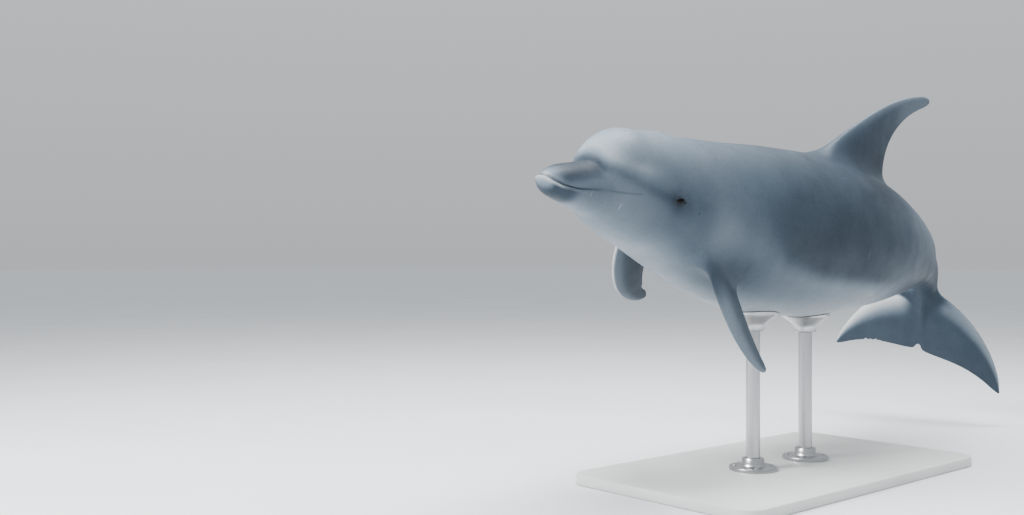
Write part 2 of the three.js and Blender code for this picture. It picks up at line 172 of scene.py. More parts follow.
def body_point(at, angle):
    """A point of the straight body's skin. The angle starts at the back and turns to the left."""
    at, angle = np.broadcast_arrays(np.asarray(at, float), np.asarray(angle, float))
    nose = np.sqrt(np.clip(1 - (1 - np.clip(at / NOSE_ROUND, 0, 1)) ** 2, 0, 1))
    tail = np.sqrt(np.clip(1 - np.clip((at - END + TAIL_ROUND) / TAIL_ROUND, 0, 1) ** 2, 0, 1))
    keel = (np.clip((at - KEEL["from"]) / (KEEL["full"] - KEEL["from"]), 0, 1)
            * np.clip((KEEL["out"] - at) / KEEL["runs_out_over"], 0, 1))
    waist = waist_height(at)
    sine, cosine = np.sin(angle), np.cos(angle)
    reach = np.where(cosine > 0, back_height(at) - waist, waist - belly_height(at))
    x = half_width(at) * nose * tail * np.sign(sine) * np.abs(sine) ** (1 + KEEL["sharp"] * keel)
    z = waist + reach * nose * tail * cosine
    out = np.maximum(np.hypot(x, z), 1e-9)
    melon = melon_reach(at, x / out, z / out)
    soft = crease_softness(at)
    near = np.clip(soft - np.abs(out - melon), 0, None) / soft
    joined = np.where(melon > 0, np.maximum(out, melon) + near ** 2 * soft / 4, out)
    lift = (mouth_height(at) - waist) * fall(at, 0, SNOUT_CLOSES)
    return np.stack([x / out * joined, at, z / out * joined + lift], axis=-1)


def angle_at_height(at, height):
    """The angle, on the left side, where the skin is at that height."""
    above, below = np.full(np.shape(at), math.radians(10)), np.full(np.shape(at), math.radians(170))
    for _ in range(30):
        middle = (above + below) / 2
        higher = body_point(at, middle)[..., 2] > height
        above, below = np.where(higher, middle, above), np.where(higher, below, middle)
    return (above + below) / 2


# ---------------------------------------------------------------- the spine
# The swimming pose comes from the spine: the tail beats down and a little to the right, the head turns
# and the whole animal leans. Every point of the straight animal is carried on the spine beside it.

TAIL_DOWN = [(1.01, 1.46, 5), (1.71, 2.21, 5), (2.06, 2.46, 58)]  # from, to, degrees
TAIL_ASIDE = [(1.065, 1.81, 9.6), (1.71, 2.41, 5)]
HEAD_TURN = {"from": 0.305, "to": 0.965, "aside": 5, "down": -3}
CARRIAGE = {"nose_up": 3.8, "lean": 14.7}
ANCHOR = {"at": 1.0, "place": (0.020, -0.050, 0.740)}
STEP = 0.01  # between the stations that the spine is worked out at
LONGEST = 2.75
X, Y, Z = range(3)


def bend_at(bends, at):
    return sum(by * rise(at, start, end - start) for start, end, by in bends)


def turning(axis, angle):
    """The matrix that turns about an axis, or one for each angle along its last index."""
    ahead, behind = (axis + 1) % 3, (axis + 2) % 3
    matrix = np.zeros((3, 3, *np.shape(angle)))
    matrix[axis, axis] = 1
    matrix[ahead, ahead] = matrix[behind, behind] = np.cos(angle)
    matrix[behind, ahead] = np.sin(angle)
    matrix[ahead, behind] = -np.sin(angle)
    return matrix


stations = np.arange(round(LONGEST / STEP) + 1) * STEP
head_share = smooth((HEAD_TURN["to"] - stations) / (HEAD_TURN["to"] - HEAD_TURN["from"]))
down = np.radians(bend_at(TAIL_DOWN, stations) - HEAD_TURN["down"] * head_share)
aside = np.radians(bend_at(TAIL_ASIDE, stations) + HEAD_TURN["aside"] * head_share)
carriage = turning(X, np.radians(-CARRIAGE["nose_up"])) @ turning(Y, np.radians(CARRIAGE["lean"]))
spine_turn = np.einsum("ij,jkn,kln->nil", carriage, turning(Z, aside), turning(X, -down))
anchor = round(ANCHOR["at"] / STEP)
hops = (spine_turn[:-1, :, 1] + spine_turn[1:, :, 1]) * STEP / 2
spine_place = np.vstack([np.zeros(3), np.cumsum(hops, axis=0)])
spine_place += np.array(ANCHOR["place"]) - spine_place[anchor]


def pose(points, station):
    """Carries points of the straight animal to their places in the pose."""
    at = np.clip(station, 0, LONGEST - STEP)
    i = np.floor(at / STEP).astype(int)
    t = (at / STEP - i)[:, None]
    turn = mix(spine_turn[i], spine_turn[i + 1], t[:, :, None])
    place = mix(spine_place[i], spine_place[i + 1], t)
    local = np.stack([points[:, 0], points[:, 1] - at, points[:, 2]], axis=1)
    return place + np.einsum("nij,nj->ni", turn, local)


# ---------------------------------------------------------------- the skin: head, trunk and tail stock
# The skin is one unbroken hide over the whole animal, lips, melon and tail stock alike. It starts as a
# grid wrapped round the straight body, with its columns drawn together along the mouth.

COLUMNS = 72  # around the body, 5 degrees each
SIDE = 16  # the column that carries the mouth and the eye
LIP_OFFSETS = (0.006, 0.0022, 0, -0.0022, -0.006)  # heights of columns SIDE - 2 to SIDE + 2 off the mouth
LIPS_RUN_OUT = 0.17  # the columns spread evenly again over this length behind the corner of the mouth
SNOUT_ROWS = (0, 0.0005, 0.003, 0.007, 0.012, 0.018, 0.025)
END_ROWS = (2.570, 2.577, 2.582, END)
STRETCHES = [  # from, to, rows
    (0.032, 0.130, 14),
    (0.130, 0.325, 24),
    (0.325, 0.389, 8),
    (0.389, 0.440, 6),
    (0.440, 0.704, 22),
    (0.704, 1.040, 14),
    (1.040, 1.620, 24),
    (1.620, 2.270, 26),
    (2.270, 2.570, 20),
]
between_ends = [np.linspace(start, end, count, endpoint=False) for start, end, count in STRETCHES]
rows = np.concatenate([SNOUT_ROWS, *between_ends, END_ROWS])
even = np.radians(np.abs(np.arange(-COLUMNS // 2, COLUMNS // 2 + 1)) * 360 / COLUMNS)
nose = np.sqrt(1 - (1 - np.clip(rows / NOSE_ROUND, 0.01, 1)) ** 2)
lips = np.stack([angle_at_height(rows, mouth_height(rows) + offset * nose) for offset in LIP_OFFSETS], axis=1)
half = COLUMNS // 2
near_mouth = [0, *range(SIDE - 2, SIDE + 3), half]
gathered = np.array([
    np.interp(range(half + 1), near_mouth, [0, *row_lips, math.pi]) for row_lips in lips
])
gather = fall(rows, MOUTH_CORNER, LIPS_RUN_OUT)[:, None]
side_angles = mix(even[half:][None, :], gathered, gather)

skin = bmesh.new()
row_layer = skin.verts.layers.int.new("row")
column_layer = skin.verts.layers.int.new("column")
# The station of the spine that a point rides on, and its place on a fin: 0 on the body and 1 on the
# blade, the share of the way out and of the chord, and the face.
MARKS = ("station", "blade", "out", "chord", "face")
marks = {name: skin.verts.layers.float.new(name) for name in MARKS}
bmesh.ops.create_grid(skin, x_segments=COLUMNS, y_segments=len(rows) - 1, size=1)
for v in skin.verts:
    column = round((v.co.x + 1) / 2 * COLUMNS) - half
    row = round((v.co.y + 1) / 2 * (len(rows) - 1))
    angle = side_angles[row, abs(column)] * (1 if column >= 0 else -1)
    v.co = body_point(rows[row], angle)
    v[row_layer], v[column_layer], v[marks["station"]] = row, column, rows[row]
bmesh.ops.remove_doubles(skin, verts=skin.verts, dist=1e-6)
bmesh.ops.recalc_face_normals(skin, faces=skin.faces)
bare_body = BVHTree.FromBMesh(skin)


def outside(point):
    """How far a point stands outside the bare body."""
    nearest, normal, _, _ = bare_body.find_nearest(point)
    return (Vector(point) - nearest).dot(normal)


def row_at(station):
    return int(np.argmin(np.abs(rows - station)))


def open_patch(front, rear, middle, spread, side=1):
    """Takes the skin away between two stations and spread columns either side of the middle one.
    Returns the rim's vertices, from the front middle round by the belly side (the left side, for a
    patch on the back) and home by the other."""
    first, last = row_at(front), row_at(rear)
    low, high = middle - spread, middle + spread
    grid = {(v[row_layer], v[column_layer] * side): v for v in skin.verts}
    if side < 0:
        grid.update({(r, half): v for (r, c), v in grid.items() if c == -half})
    way = [(first, c) for c in range(middle, high)]
    way += [(r, high) for r in range(first, last)]
    way += [(last, c) for c in range(high, low, -1)]
    way += [(r, low) for r in range(last, first, -1)]
    way += [(first, c) for c in range(low, middle)]
    rim = [grid[place] for place in way]
    inside = {grid[r, c] for r in range(first, last + 1) for c in range(low, high + 1)}
    faces = [f for f in skin.faces if all(v in inside for v in f.verts)]
    bmesh.ops.delete(skin, geom=faces, context="FACES")
    return rim


def grow(rim, points, noted=None):
    """Draws a ring of skin out of the rim to the given points, and returns the new rim. noted gives the
    marks of each point; without it, a point belongs to the body and rides on its own station."""
    size = len(rim)
    edges = [skin.edges.get((rim[i], rim[(i + 1) % size])) for i in range(size)]
    made = bmesh.ops.extrude_edge_only(skin, edges=edges)["geom"]
    fresh = {g for g in made if isinstance(g, bmesh.types.BMVert)}
    grown = []
    for i, v in enumerate(rim):
        twin = next(e.other_vert(v) for e in v.link_edges if e.other_vert(v) in fresh)
        twin.co = points[i]
        twin[row_layer], twin[column_layer] = -1, 0
        values = (points[i][1], 0, 0, 0, 0) if noted is None else noted[i]
        for name, value in zip(MARKS, values):
            twin[marks[name]] = value
        grown.append(twin)
    return grown


# ---------------------------------------------------------------- the skin: eyelids and blowhole
# The eye is a ball of about 30 mm that sits in the side of the head, above and behind the corner of the
# mouth. Thick, wrinkled lids without lashes close round it as an almond.

EYE = {"at": 0.357, "height": 0.022, "radius": 0.015, "proud": 0.003}
EYE_PATCH = {"front": 0.325, "rear": 0.389, "middle": SIDE, "spread": 3}
ALMOND = {"flat": 0.7, "corners": 1.4}  # how flat the opening is, and how drawn out its corners
LIDS = [  # half length, half height, then how proud of the skin
    (0.0290, 0.0205, 0.0000),
    (0.0252, 0.0172, 0.0008),
    (0.0222, 0.0146, 0.0020),
    (0.0196, 0.0124, 0.0026),
    (0.0176, 0.0108, 0.0016),
]
LID_MARGIN = [  # half length, half height, then how clear of the ball
    (0.0158, 0.0094, 0.0034),
    (0.0140, 0.0080, 0.0026),
    (0.0128, 0.0070, 0.0014),
    (0.0124, 0.0066, 0.0004),
]
SOCKET = (60, 90, 125, 155)  # degrees from the front of the ball, behind the lids
SOCKET_RADIUS = EYE["radius"] + 0.0004  # the socket stands just clear of the ball
CLEAR_OF_SKIN = 0.05  # far enough out to look for the skin from
eyeballs = []  # side, centre and the three directions of each eye, on the straight animal
for side in (1, -1):
    skin_at_eye = body_point(EYE["at"], angle_at_height(EYE["at"], EYE["height"]))
    centre = Vector((side * (skin_at_eye[0] - EYE["radius"] + EYE["proud"]), EYE["at"], EYE["height"]))
    _, outward, _, _ = bare_body.find_nearest(centre)
    upward = (Vector((0, 0, 1)) - outward * outward.z).normalized()
    backward = outward.cross(upward) * side
    eyeballs.append((side, centre, outward, upward, backward))
    rim = open_patch(**EYE_PATCH, side=side)
    arms = [v.co - centre for v in rim]
    turns = [math.atan2(arm.dot(upward) / ALMOND["flat"], arm.dot(backward)) for arm in arms]

    def almond(turn, high):
        """Height of an almond's outline, which narrows to both corners."""
        return high * math.copysign(abs(math.sin(turn)) ** ALMOND["corners"], math.sin(turn))

    def on_skin(turn, long, high, proud):
        start = centre + backward * long * math.cos(turn) + upward * almond(turn, high)
        hit, _, _, _ = bare_body.ray_cast(start + outward * CLEAR_OF_SKIN, -outward)
        return hit + outward * proud

    def on_ball(turn, long, high, clear):
        across, up = long * math.cos(turn), almond(turn, high)
        radius = EYE["radius"] + clear
        depth = math.sqrt(radius ** 2 - across ** 2 - up ** 2)
        return centre + backward * across + upward * up + outward * depth

    for long, high, proud in LIDS:
        rim = grow(rim, [on_skin(turn, long, high, proud) for turn in turns])
    for long, high, clear in LID_MARGIN:
        rim = grow(rim, [on_ball(turn, long, high, clear) for turn in turns])
    for away in np.radians(SOCKET):
        ring_radius, depth = SOCKET_RADIUS * math.sin(away), SOCKET_RADIUS * math.cos(away)
        rim = grow(rim, [
            centre + outward * depth
            + (backward * math.cos(turn) + upward * math.sin(turn)) * ring_radius
            for turn in turns
        ])
    bmesh.ops.pointmerge(skin, verts=rim, merge_co=centre - outward * SOCKET_RADIUS)

# The blowhole is a crescent on top of the head, shut under water, with its horns pointing forward.
BLOWHOLE = {"at": 0.352, "radius": 0.020, "spread": 68, "narrowing": 0.45}
BLOWHOLE_PATCH = {"front": 0.341, "rear": 0.3975, "middle": 0, "spread": 3}
BLOWHOLE_RINGS = [  # half width of the crescent, then height above the skin
    (0.0135, 0.0006),
    (0.0085, 0.0016),
    (0.0048, 0.0018),
    (0.0026, 0.0008),
    (0.0013, -0.0020),
    (0.0007, -0.0060),
    (0.0000, -0.0090),
]
rim = open_patch(**BLOWHOLE_PATCH)
for width, lift in BLOWHOLE_RINGS:
    points = []
    for i in range(len(rim)):
        step = i if i <= len(rim) // 2 else len(rim) - i
        along = step / (len(rim) / 4)  # 0 at the middle of the front lip, 2 at the middle of the rear
        turn = math.radians(BLOWHOLE["spread"]) * (along if along < 1 else 2 - along)
        turn *= 1 if i <= len(rim) // 2 else -1
        narrow = width * (1 - BLOWHOLE["narrowing"] * turn ** 2)
        reach = BLOWHOLE["radius"] + (-narrow if along < 1 else narrow)
        over = Vector((math.sin(turn) * reach, BLOWHOLE["at"] + math.cos(turn) * reach, MELON["high"] * 2))
        hit, _, _, _ = bare_body.ray_cast(over, Vector((0, 0, -1)))
        points.append(hit + Vector((0, 0, lift)))
    rim = grow(rim, points)
bmesh.ops.remove_doubles(skin, verts=rim, dist=1e-5)

# ---------------------------------------------------------------- the skin: fins, flippers and flukes
# Fins are tapering blades of tough, dense tissue with a streamlined section and no bone in the dorsal
# fin or flukes. Each grows out of the hide with a smooth fillet and closes along its thin tip.

EDGE = 0.0024  # half thickness of a fin's trailing edge at its root
TIP = {"over": 0.08, "left": 0.2}  # a fin's tip closes round over this share, to this much of its chord
ROOT_WITHIN = 0.6  # a fin comes out of the body before this share of its way out
FILLET_WITHIN = 0.9  # and its fillet has run out before this share
CROWDING = 1.4  # how much closer a fin's rings stand towards its tip


def cubic(points, t):
    """A curve from the first point to the last, drawn towards the two between."""
    p = np.array(points)
    u = 1 - t
    return u ** 3 * p[0] + 3 * u * u * t * p[1] + 3 * u * t * t * p[2] + t ** 3 * p[3]


def streamlined(c):
    """Half thickness of a section of unit chord and thickness, at a share of the chord."""
    return 5 * (0.2969 * math.sqrt(c) - 0.126 * c - 0.3516 * c ** 2 + 0.2843 * c ** 3 - 0.1036 * c ** 4)


def blade_point(blade, out, share, side):
    """A point of a blade: how far out to the tip, its share of the chord, and which face it's on."""
    start, end = cubic(blade["leading"], out), cubic(blade["trailing"], out)
    closing = max(out - 1 + TIP["over"], 0) / TIP["over"]
    narrowing = 1 - math.sqrt(1 - (1 - TIP["left"] ** 2) * closing ** 2)
    middle = mix(start, end, 0.5)
    start, end = mix(start, middle, narrowing), mix(end, middle, narrowing)
    depth = np.linalg.norm(end - start) * mix(*blade["thick"], out)
    edge = mix(EDGE, EDGE / 3, out)
    along = mix(start, end, share)
    return along[0], along[1], side * (streamlined(share) * depth + edge * share)


def grow_fin(rim, blade, place, fillet, rings, fillet_rings=4):
    """Grows a blade out of a rim. place(a, b, half) carries a point of the blade into the straight
    animal and gives the station that it rides on. fillet is the share of the blade that it takes."""
    size = len(rim)
    faces = []
    for i in range(size):
        step = i if i <= size // 2 else size - i
        side = 0 if i in (0, size // 2) else (1 if i < size // 2 else -1)
        faces.append(((1 - math.cos(2 * math.pi * step / size)) / 2, side))
    roots = []
    for share, side in faces:
        inner, outer = 0, ROOT_WITHIN
        for _ in range(24):
            out = (inner + outer) / 2
            point, _ = place(*blade_point(blade, out, share, side))
            inner, outer = (inner, out) if outside(point) > 0 else (out, outer)
        roots.append((inner + outer) / 2)
    corner = [place(*blade_point(blade, out, *face))[0] for out, face in zip(roots, faces)]
    landed = [min(out + fillet, FILLET_WITHIN) for out in roots]
    start = [np.array(v.co) for v in rim]
    rides = [v[marks["station"]] for v in rim]
    for k in range(1, fillet_rings + 1):
        t = k / fillet_rings
        points, noted = [], []
        for i, (share, side) in enumerate(faces):
            end, station = place(*blade_point(blade, landed[i], share, side))
            points.append((1 - t) ** 2 * start[i] + 2 * t * (1 - t) * corner[i] + t * t * end)
            noted.append((mix(rides[i], station, t), t, landed[i] * t, share, side))
        rim = grow(rim, points, noted)
    for k in range(1, rings + 1):
        t = 1 - (1 - k / rings) ** CROWDING
        points, noted = [], []
        for start_out, (share, side) in zip(landed, faces):
            out = mix(start_out, 1, t)
            point, station = place(*blade_point(blade, out, share, 0 if k == rings else side))
            points.append(point)
            noted.append((station, 1, out, share, side))
        rim = grow(rim, points, noted)
    bmesh.ops.remove_doubles(skin, verts=rim, dist=1e-5)


# A blade's edges are cubic curves from inside the body to the tip, in the blade's own plane. Its
# thickness is a share of its chord, at the root and at the tip.
DORSAL = {
    "leading": [(1.080, -0.030), (1.240, 0.138), (1.420, 0.256), (1.632, 0.290)],
    "trailing": [(1.545, -0.060), (1.400, 0.060), (1.444, 0.190), (1.650, 0.264)],
    "thick": (0.17, 0.11),
}
DORSAL_ROOT = 0.223
STIFF = {"at": 1.320, "above": 0.200}  # above this height the fin stands stiffly on one station


def place_dorsal(back, up, half_thick):
    stiff = min(max(up / STIFF["above"], 0), 1)
    return np.array([half_thick, back, DORSAL_ROOT + up]), mix(back, STIFF["at"], stiff)


dorsal_rim = open_patch(front=1.064, rear=1.620, middle=0, spread=4)
grow_fin(dorsal_rim, DORSAL, place_dorsal, fillet=0.11, rings=22, fillet_rings=5)

FLUKE = {
    "leading": [(0.000, 2.300), (0.096, 2.333), (0.272, 2.440), (0.326, 2.655)],
    "trailing": [(0.000, 2.580), (0.095, 2.602), (0.190, 2.572), (0.322, 2.674)],
    "thick": (0.2, 0.1),
}
# The right fluke is cupped: its leading edge is bent ahead and down by this much.
CUP_RIGHT = {"out": 0.120, "chord": 0.200, "ahead": 0.024, "down": 0.030}
for side in (1, -1):
    def place_fluke(out, back, half_thick):
        cupped = 0
        if side < 0:
            ahead = min(max((NOTCH - back) / CUP_RIGHT["chord"], 0), 1) ** 2
            cupped = smooth(out / CUP_RIGHT["out"]) * ahead
        point = (side * out, back - CUP_RIGHT["ahead"] * cupped, -half_thick - CUP_RIGHT["down"] * cupped)
        return np.array(point, float), point[1]

    fluke_rim = open_patch(front=2.285, rear=2.577, middle=COLUMNS // 4, spread=11, side=side)
    grow_fin(fluke_rim, FLUKE, place_fluke, fillet=0.10, rings=24)

FLIPPER = {
    "leading": [(-0.040, -0.070), (-0.094, 0.110), (-0.026, 0.274), (0.084, 0.332)],
    "trailing": [(0.068, -0.070), (0.077, 0.083), (0.056, 0.225), (0.104, 0.322)],
    "thick": (0.16, 0.12),
}
FLIPPER_ROOT = (0.149, 0.567, -0.126)
FLIPPER_POSE = {1: (25, 66, -12), -1: (36, 62, 7)}  # sweep, droop and turn of the left and the right
for side, turns in FLIPPER_POSE.items():
    sweep, droop, turn = np.radians(turns)
    held = turning(Y, droop) @ turning(Z, sweep) @ turning(X, turn)

    def place_flipper(back, out, half_thick):
        point = held @ np.array([out, back, -half_thick]) + FLIPPER_ROOT
        return point * (side, 1, 1), FLIPPER_ROOT[1]

    flipper_rim = open_patch(front=0.464, rear=0.656, middle=26, spread=4, side=side)
    grow_fin(flipper_rim, FLIPPER, place_flipper, fillet=0.09, rings=22)
across_right_flipper = held[:, Y] * (side, 1, 1)  # from its leading edge back

# ---------------------------------------------------------------- the finished skin
# The hide is smooth and firm, with a deep line where the lips meet, a crease where the melon rises from
# the beak, and the counter-shading of the open sea: dark above, pale below, with painted light and shade in
# it.


def put_in_scene(made, name):
    """Makes an object of a drawn mesh, smooth all over."""
    mesh = bpy.data.meshes.new(name)
    made.to_mesh(mesh)
    mesh.polygons.foreach_set("use_smooth", [True] * len(mesh.polygons))
    piece = bpy.data.objects.new(name, mesh)
    bpy.context.scene.collection.objects.link(piece)
    return piece


bmesh.ops.recalc_face_normals(skin, faces=skin.faces)
skin_piece = put_in_scene(skin, "skin")
bpy.context.view_layer.objects.active = skin_piece
rounding = skin_piece.modifiers.new("rounding", "SUBSURF")
rounding.levels = rounding.render_levels = 1
bpy.ops.object.modifier_apply(modifier="rounding")
skin_mesh = skin_piece.data


def read(source, name, width=1):
    """A layer of the skin's points as an array."""
    values = np.empty(len(skin_mesh.vertices) * width)
    source.foreach_get(name, values)
    return values.reshape(-1, width) if width > 1 else values


straight = read(skin_mesh.vertices, "co", 3)
facing = read(skin_mesh.vertex_normals, "vector", 3)
mark = {name: read(skin_mesh.attributes[name].data, "value") for name in MARKS}
x, y, z = straight.T
on_body = fall(mark["blade"], 0, 0.5)
FLUKE_FROM = 2.2  # the flukes lie behind this station, and the dorsal fin from the next one back
DORSAL_FROM = 0.9


def hump(distance, width):
    return np.exp(-(distance / width) ** 2)


# Lips: a deep line between two soft rolls, that fades past the corner of the mouth. At the tip of the
# snout the lower lip stands ahead of the upper.
LIPS = {"line": 0.0034, "rolls": 0.0009, "upper_ahead": -0.0055, "lower_ahead": 0.0080}
off_mouth = z - mouth_height(y)
mouth_share = on_body * fall(y, MOUTH_CORNER - 0.020, 0.028)
lip_line = hump(off_mouth, mix(0.0017, 0.0026, rise(y, 0.05, 0.1))) * mouth_share
rolls = (hump(off_mouth - 0.0058, 0.0030) + 1.3 * hump(off_mouth + 0.0056, 0.0032)) * mouth_share
lip_step = mix(LIPS["upper_ahead"], LIPS["lower_ahead"], rise(off_mouth, -0.0025, 0.005)) * fall(y, 0, 0.060)
flatter = mix(1, 0.22, rise(y, 0.04, 0.12))  # the lips press flatter towards the corner

# The crease: how far each direction's beak stands from the melon.
CREASE_DEPTH = 0.0016
away = np.maximum(np.hypot(x, z), 1e-6)
across, up = x / away, z / away
waist = waist_height(y)
high = np.where(z > waist, back_height(y) - waist, waist - belly_height(y))
beak_reach = ellipse_reach(across, up, half_width(y), high, waist)
crease = hump(beak_reach - melon_reach(y, across, up), 0.0090) * on_body
crease *= fall(y, 0.145, 0.05) * rise(z, 0.040, 0.012)

sunk = (LIPS["rolls"] * rolls - LIPS["line"] * lip_line) * flatter - CREASE_DEPTH * crease
straight += facing * sunk[:, None]
straight[:, Y] += lip_step

# Old nicks and wear in the trailing edges of the right fluke and the right flipper.
FLUKE_NICKS = [  # out from the middle, half width, depth
    (0.206, 0.0055, 0.008),
    (0.187, 0.0050, 0.005),
    (0.168, 0.0060, 0.007),
    (0.151, 0.0050, 0.004),
]
out, chord = mark["out"], mark["chord"]
at_rear = rise(chord, 0.72, 0.28) * (mark["blade"] > 0.99)
for place, wide, deep in FLUKE_NICKS:
    straight[:, Y] -= deep * hump(-x - place, wide) * at_rear * (y > FLUKE_FROM)
worn = 0.007 * fall(out, 0.84, 0.06) + 0.004 * hump(out - 0.80, 0.025)
worn *= at_rear * (x < 0) * (y < DORSAL_FROM) * (z < 0) * rise(out, 0.40, 0.25)
straight -= worn[:, None] * across_right_flipper

# The ridge of the tail stock dies out between the flukes, and ends in the cleft of the notch.
RIDGE = {"half_width": 0.070, "left": 0.42}
CLEFT = {"deep": 0.024, "half_width": 0.011}
ridge_left = mix(1, RIDGE["left"], rise(y, 2.36, 0.16))
straight[:, Z] *= mix(1, ridge_left, fall(np.abs(x), 0, RIDGE["half_width"]))
straight[:, Y] -= CLEFT["deep"] * hump(x, CLEFT["half_width"]) * rise(y, 2.52, 0.06)

posed = pose(straight, mark["station"])
skin_mesh.vertices.foreach_set("co", posed.ravel())
skin_mesh.update()

# Tone of the hide, 0 for the palest belly to 1 for the darkest back. Besides the counter-shading it holds
# painted light and shade: the top of the head and of the tail stock are painted lighter where light falls
# from above, and the throat is painted darker as shade.
COAT_AND_PAINTED_LIGHT = np.array([  # station, then the tone of the belly, of the flank and of the back
    (0.000, 0.44, 0.50, 0.56),
    (0.050, 0.44, 0.62, 0.66),
    (0.130, 0.44, 0.62, 0.66),
    (0.200, 0.42, 0.57, 0.54),
    (0.250, 0.42, 0.60, 0.56),
    (0.300, 0.42, 0.67, 0.58),
    (0.355, 0.42, 0.71, 0.58),
    (0.430, 0.44, 0.74, 0.64),
    (0.500, 0.42, 0.66, 0.73),
    (0.600, 0.40, 0.67, 0.77),
    (0.700, 0.37, 0.66, 0.80),
    (0.800, 0.36, 0.62, 0.86),
    (0.950, 0.32, 0.54, 0.88),
    (1.100, 0.27, 0.48, 0.88),
    (1.250, 0.23, 0.43, 0.85),
    (1.350, 0.22, 0.46, 0.80),
    (1.450, 0.24, 0.66, 0.75),
    (1.550, 0.36, 0.84, 0.71),
    (1.650, 0.50, 0.89, 0.68),
    (1.850, 0.72, 0.90, 0.64),
    (2.100, 0.80, 0.84, 0.72),
    (2.300, 0.82, 0.84, 0.82),
])
TIDE = np.array([  # station, height of the flank's lower edge, softness of that edge
    (0.000, -0.026, 0.020),
    (0.060, -0.034, 0.025),
    (0.130, -0.052, 0.035),
    (0.203, -0.074, 0.045),
    (0.280, -0.085, 0.050),
    (0.355, -0.085, 0.045),
    (0.430, -0.110, 0.045),
    (0.500, -0.140, 0.050),
    (0.580, -0.172, 0.050),
    (0.700, -0.200, 0.045),
    (1.081, -0.205, 0.060),
    (1.231, -0.195, 0.060),
    (1.360, -0.180, 0.060),
    (1.500, -0.185, 0.055),
    (1.700, -0.130, 0.050),
    (2.000, -0.080, 0.040),
    (2.580, -0.030, 0.030),
])
# The dark back's lower edge dips low on the mid flank, under the dorsal fin: partly the back's own dark,
# partly painted shade.
CAPE_AND_PAINTED_SHADE = np.array([  # station, height of the dark back's lower edge, softness
    (0.000, 0.022, 0.030),
    (0.120, 0.044, 0.030),
    (0.180, 0.080, 0.050),
    (0.260, 0.110, 0.070),
    (0.357, 0.105, 0.080),
    (0.480, 0.095, 0.090),
    (0.620, 0.030, 0.090),
    (0.700, -0.030, 0.060),
    (0.780, -0.080, 0.035),
    (0.940, -0.105, 0.032),
    (1.080, -0.110, 0.032),
    (1.250, -0.110, 0.030),
    (1.360, -0.108, 0.035),
    (1.500, -0.060, 0.060),
    (1.620, 0.000, 0.060),
    (1.850, -0.010, 0.050),
    (2.300, 0.010, 0.040),
])


def above(table):
    """Share of each point that lies above a line along the body."""
    line, softness = (np.interp(y, table[:, 0], table[:, i]) for i in (1, 2))
    return rise(z, line - softness, 2 * softness)


def between(value, start, end, softness):
    """1 between start and end, and 0 a softness beyond either."""
    return rise(value, start - softness, softness) * fall(value, end, softness)


belly, flank, back = (np.interp(y, COAT_AND_PAINTED_LIGHT[:, 0], COAT_AND_PAINTED_LIGHT[:, i]) for i in (1, 2, 3))
tone = mix(mix(belly, flank, above(TIDE)), back, above(CAPE_AND_PAINTED_SHADE))
# The front of the melon is paler: partly its own paler colour, partly a painted highlight where light falls
# on it from above and ahead.
pale_melon_and_highlight = fall(y, 0.152, 0.060) * rise(z, 0.056, 0.034)
tone = mix(tone, 0.30, pale_melon_and_highlight * 0.8)
# A dark stripe runs from the crease in front of the melon to the eye.
STRIPE = np.array([
    (0.130, 0.064),
    (0.144, 0.068),
    (0.158, 0.060),
    (0.195, 0.049),
    (0.248, 0.036),
    (0.300, 0.027),
    (0.358, 0.022),
])
stripe = hump(z - np.interp(y, STRIPE[:, 0], STRIPE[:, 1]), 0.0150) * between(y, 0.142, 0.345, 0.020)
# A faint darkening along and just below the mouth line is painted shade under the upper lip.
mouth_shade = hump(off_mouth + 0.001, 0.008) * between(y, 0.085, 0.215, 0.030)
tone += (0.10 * stripe + 0.03 * mouth_shade) * on_body
SPOTS = [  # station, height, half length, half height and change of tone of an oval on either side
    (0.353, 0.016, 0.032, 0.024, 0.16),  # the dark patch round the eye
    (0.235, 0.076, 0.050, 0.016, -0.15),  # a painted highlight on the melon's side, above the stripe
    (0.520, -0.015, 0.050, 0.045, -0.07),  # a pale blaze behind the eye
    (0.600, -0.125, 0.100, 0.050, 0.14),  # painted shade on the lower flank round the flipper's root
    (1.310, 0.175, 0.140, 0.055, 0.14),  # the dark saddle at the dorsal fin's foot, partly the back's own dark and partly painted shade
]
for at, height, long, tall, change in SPOTS:
    tone += change * hump(np.hypot((y - at) / long, (z - height) / tall), 1)
# The top of the upper jaw is dark, partly the beak's own dark grey and partly painted shade, and the front of
# the lower one is darkened as painted shade. The lower lip's rim is a painted highlight, and the lips' tip is
# pale, partly its own pale tip and partly a painted highlight.
beak = rise(z - 0.31 * (y - 0.04), -0.009, 0.034) * rise(y, 0.010, 0.034) * fall(y, 0.136, 0.022)
jaw = between(off_mouth, -0.080, -0.010, 0.007) * between(y, 0.012, 0.052, 0.045)
lip_highlight = hump(off_mouth + 0.0042, 0.0022) * between(y, 0, 0.022, 0.026)
pale_tip_and_highlight = fall(y, 0.003, 0.014) * hump(off_mouth, 0.021)
tone = mix(tone, 0.96, beak * on_body * 0.9)
tone = mix(tone, 0.90, jaw * on_body * 0.9)
tone = mix(tone, 0.12, np.maximum(lip_highlight * 0.6, pale_tip_and_highlight * 0.7) * on_body)
# Fins are darker than the flank beside them, and paler along the leading edge. The thin pale rim along the
# right flipper's leading edge is a painted highlight.
is_right = x < 0
dorsal_tone = mix(0.84, 0.60, rise(out, 0.30, 0.65)) - 0.14 * fall(chord, 0, 0.25) * rise(out, 0, 0.5)
